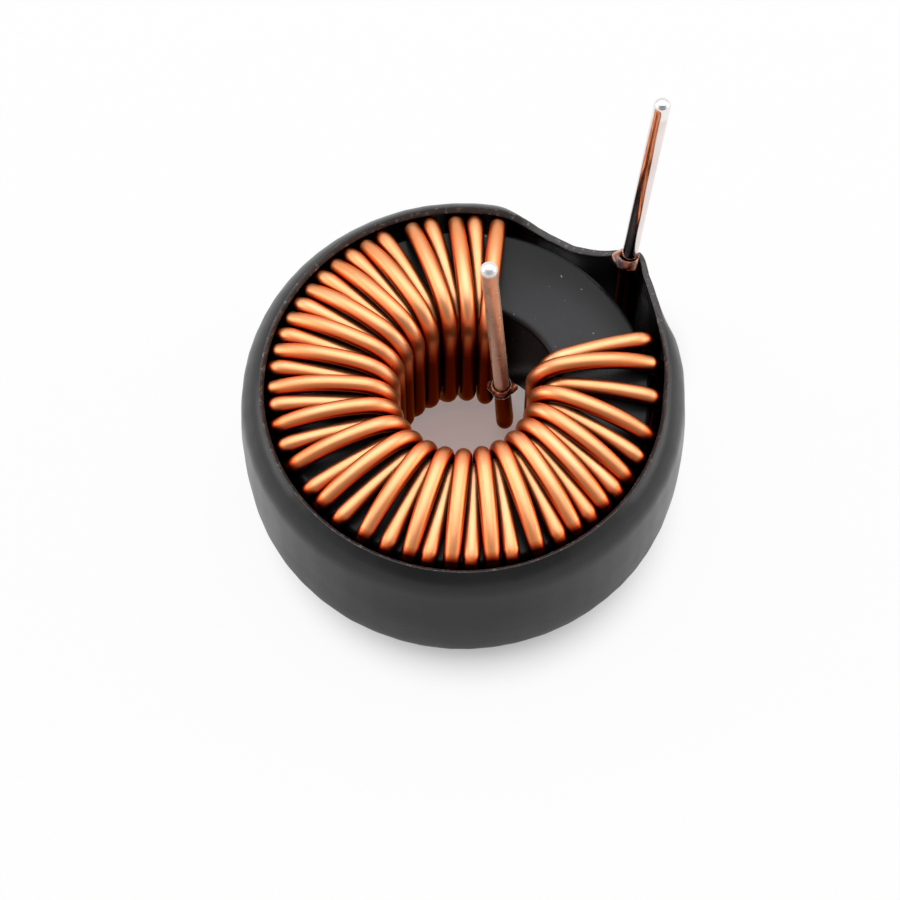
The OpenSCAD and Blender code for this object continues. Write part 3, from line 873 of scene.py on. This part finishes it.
def solder_material(name, pale, low, high, metal):
    """Bright tin over copper, smooth but for faint flow marks, with a white tip: the palest tone
    below the tip, the roughness from low to high, and how far it mirrors."""
    material, nodes, links, shader = new_material(name)
    place = object_place(nodes)
    flow = noise_node(nodes, links, place, 260.0, 3.0, 0.5, 0.4)
    tone = ramp(nodes, links, flow, [(0.3, tuple(0.9 * c for c in pale)), (0.7, pale)])
    on_tip = map_range(nodes, links, separate(nodes, links, place)["Z"], 0.0492, 0.0498, 0, 1)
    links.new(mix_colour(nodes, links, on_tip, tone, (0.86, 0.84, 0.83)), shader["Base Color"])
    links.new(ramp(nodes, links, flow, [(0.3, grey(low)), (0.7, grey(high))]),
              shader["Roughness"])
    links.new(bump_node(nodes, links, flow, 0.06, 0.0001), shader["Normal"])
    shader["Metallic"].default_value = metal
    return material


def collar_material():
    """Scorched enamel and flux: glassy, from peach through orange to dark red-brown."""
    material, nodes, links, shader = new_material("scorched_enamel")
    place = object_place(nodes)
    burn = noise_node(nodes, links, place, 620.0, 3.0, 0.5, 0.6)
    tone = ramp(nodes, links, burn, [(0.42, (0.04, 0.007, 0.004)), (0.51, (0.18, 0.035, 0.016)),
                                     (0.59, (0.50, 0.15, 0.06)), (0.70, (0.90, 0.58, 0.42))])
    links.new(tone, shader["Base Color"])
    pits = noise_node(nodes, links, place, 1600.0, 3.0)
    links.new(ramp(nodes, links, pits, [(0.35, grey(0.08)), (0.7, grey(0.35))]),
              shader["Roughness"])
    links.new(bump_node(nodes, links, pits, 0.3, 0.0002), shader["Normal"])
    shader["Coat Weight"].default_value = 1.0
    shader["Coat Roughness"].default_value = 0.06
    return material


def dress(obj, material):
    obj.data.materials.clear()
    obj.data.materials.append(material)


# ---------------------------------------------------------------- floor and surroundings
def ray_masks(nodes, links):
    """Two values: 1 for camera and transmission rays, and 1 for glossy rays."""
    path = nodes.new("ShaderNodeLightPath")
    direct = maths(nodes, links, "MAXIMUM", path.outputs["Is Camera Ray"],
                   path.outputs["Is Transmission Ray"])
    return direct, path.outputs["Is Glossy Ray"]


def floor_material():
    """White paper. The camera sees it glow, but for the shadow near the object, and its reflection
    glows too, but for painted shade in front of the object and under the ear. Under the bore it is
    painted pink, as light bounced from the copper. All other light falls on it as on plain white
    paper, pink under the bore."""
    material = bpy.data.materials.new("floor_white")
    material.use_nodes = True
    nodes, links = material.node_tree.nodes, material.node_tree.links
    nodes.clear()
    place = object_place(nodes)
    from_ring = vector_maths(nodes, links, "DISTANCE", place, (0.001, -0.0035, 0), "Value")
    from_ear = vector_maths(nodes, links, "DISTANCE", place, (0.019, 0.0165, 0), "Value")
    from_front = vector_maths(nodes, links, "DISTANCE", place, (0, -0.016, 0), "Value")
    # The real shadow shows near the ring and near its ear, where the glow is faded out.
    ear_way = maths(nodes, links, "MULTIPLY_ADD", from_ear, 1.3, 0.012)
    way = maths(nodes, links, "MINIMUM", from_ring, ear_way)
    unshaded = map_range(nodes, links, way, 0.020, 0.0285, 0.28, 0.93)
    # Seen through the bore, the paper is painted pink, as light bounced from the copper.
    beyond_bore = map_range(nodes, links, from_ring, 0.010, 0.018, 0.0, 1.0)
    colour = mix_colour(nodes, links, beyond_bore, (0.92, 0.74, 0.70), (1, 1, 1))
    direct, mirrored = ray_masks(nodes, links)
    share = maths(nodes, links, "MAXIMUM",
                  maths(nodes, links, "MULTIPLY", direct, unshaded), mirrored)
    # Painted shade in reflections: there the paper in front of the object is dimmed, as if the
    # room's light were behind it, and so is the paper under the ear, which the pocket's wall would
    # mirror.
    painted_reflection_shade = maths(nodes, links, "MAXIMUM",
                 map_range(nodes, links, from_front, 0.018, 0.042, 0.62, 0.0),
                 map_range(nodes, links, from_ear, 0.006, 0.011, 0.97, 0.0))
    strength = maths(nodes, links, "SUBTRACT", 1.0,
                     maths(nodes, links, "MULTIPLY", painted_reflection_shade, mirrored))
    diffuse = nodes.new("ShaderNodeBsdfDiffuse")
    links.new(colour, diffuse.inputs["Color"])
    glow = nodes.new("ShaderNodeEmission")
    links.new(colour, glow.inputs["Color"])
    links.new(strength, glow.inputs["Strength"])
    mix = nodes.new("ShaderNodeMixShader")
    links.new(share, mix.inputs["Fac"])
    links.new(diffuse.outputs["BSDF"], mix.inputs[1])
    links.new(glow.outputs["Emission"], mix.inputs[2])
    out = nodes.new("ShaderNodeOutputMaterial")
    links.new(mix.outputs["Shader"], out.inputs["Surface"])
    return material


def surround(nodes, links):
    """A studio round the object: pale paper behind and beside it, seen by the camera and in
    reflections, and a dark room on the camera's side. Little of its light falls on the object."""
    ambient, room, paper = 0.15, 0.34, 0.56
    way = separate(nodes, links, nodes.new("ShaderNodeTexCoord").outputs["Generated"])
    behind = map_range(nodes, links, way["Y"], -0.25, 0.45, 0.0, 1.0)
    aside = map_range(nodes, links, maths(nodes, links, "ABSOLUTE", way["X"]), 0.45, 0.9, 0.0, 1.0)
    seen_level = maths(nodes, links, "MULTIPLY_ADD",
                       maths(nodes, links, "MAXIMUM", behind, aside), paper, room)
    seen = maths(nodes, links, "MAXIMUM", *ray_masks(nodes, links))
    more = maths(nodes, links, "MULTIPLY", seen,
                 maths(nodes, links, "SUBTRACT", seen_level, ambient))
    back = nodes["Background"]
    back.inputs["Color"].default_value = (0.97, 0.98, 1.0, 1)
    links.new(maths(nodes, links, "ADD", more, ambient), back.inputs["Strength"])


# ---------------------------------------------------------------- the object
winding = build_winding()
dress(winding, copper_material())
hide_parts("winding")

sleeve = build_sleeve()
dress(sleeve, sleeve_material())
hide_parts("sleeve")

dress(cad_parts["core"], core_material())

outer_solder = build_solder("outer_lead_solder", outer_lead, 1.0)
inner_solder = build_solder("inner_lead_solder", inner_lead, 9.0)
burnt = collar_material()
outer_collar = build_collar("outer_scorched_ring", outer_lead,
                            [(185, 40, -0.35, 0.5, 0.8), (235, 28, -0.75, 0.5, 0.45),
                             (292, 22, -1.1, 0.5, 0.3)], 0.25, 2.0)
inner_collar = build_collar("inner_scorched_ring", inner_lead,
                            [(175, 34, -0.5, 0.5, 0.55), (262, 34, -0.7, 0.6, 0.45),
                             (350, 30, -0.7, 0.5, 0.50), (70, 40, -0.8, 0.5, 0.3)], 0.3, 5.0)
for piece, node, slot, material in (
        (outer_solder, "outer_lead_tinning", "solder",
         solder_material("bright_solder", (0.84, 0.75, 0.72), 0.10, 0.19, 1.0)),
        (inner_solder, "inner_lead_tinning", "solder",
         solder_material("coppery_solder", (1.0, 0.68, 0.49), 0.24, 0.32, 0.58)),
        (outer_collar, "outer_lead_collar", "scorched_enamel", burnt),
        (inner_collar, "inner_lead_collar", "scorched_enamel", burnt)):
    dress(piece, material)
    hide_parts(node)
for piece in (winding, sleeve, outer_solder, inner_solder, outer_collar, inner_collar):
    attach(piece, "root")

# ---------------------------------------------------------------- floor, light and camera
bpy.ops.mesh.primitive_circle_add(vertices=96, radius=4.0, fill_type="NGON", location=(0, 0, 0))
floor = bpy.context.object
floor.name = "floor"
dress(floor, floor_material())

world = bpy.data.worlds.new("studio")
bpy.context.scene.world = world
world.use_nodes = True
surround(world.node_tree.nodes, world.node_tree.links)


def softbox(name, place, target, size_x, size_y, power):
    """A rectangular lamp, in metres and watts, that faces the target."""
    data = bpy.data.lights.new(name, "AREA")
    data.shape = "RECTANGLE"
    data.size, data.size_y = size_x, size_y
    data.energy = power
    obj = bpy.data.objects.new(name, data)
    obj.location = place
    obj.rotation_euler = (Vector(target) - Vector(place)).to_track_quat("-Z", "Y").to_euler()
    bpy.context.scene.collection.objects.link(obj)


softbox("top_softbox", (0.0, 0.20, 0.75), (0, 0, 0.01), 1.3, 1.0, 6.2)
softbox("left_softbox", (-0.95, 0.1, 0.35), (0, 0, 0.02), 0.7, 0.5, 2.6)
softbox("right_softbox", (0.95, 0.1, 0.35), (0, 0, 0.02), 0.7, 0.5, 2.6)

# The camera as fitted to the photo: its distance from the aim in millimetres, its angle down, the
# picture's width in pixels, and how many of them a millimetre at the aim takes.
CAMERA_WAY, CAMERA_DOWN, PHOTO_WIDTH, PIXELS_PER_MM, SENSOR = 350, 64.67, 900, 8.12, 36.0
AIM = Vector((-1.656, -7.998, HALF_H))
down = rad(CAMERA_DOWN)
camera_data = bpy.data.cameras.new("camera")
camera_data.sensor_width = SENSOR
camera_data.lens = PIXELS_PER_MM * CAMERA_WAY / PHOTO_WIDTH * SENSOR
camera = bpy.data.objects.new("camera", camera_data)
camera.location = (lifted(AIM) + Vector((0, -math.cos(down), math.sin(down))) * CAMERA_WAY) * MM
camera.rotation_euler = (math.pi / 2 - down, 0, 0)
bpy.context.scene.collection.objects.link(camera)
bpy.context.scene.camera = camera
bpy.context.scene.view_settings.view_transform = "Standard"
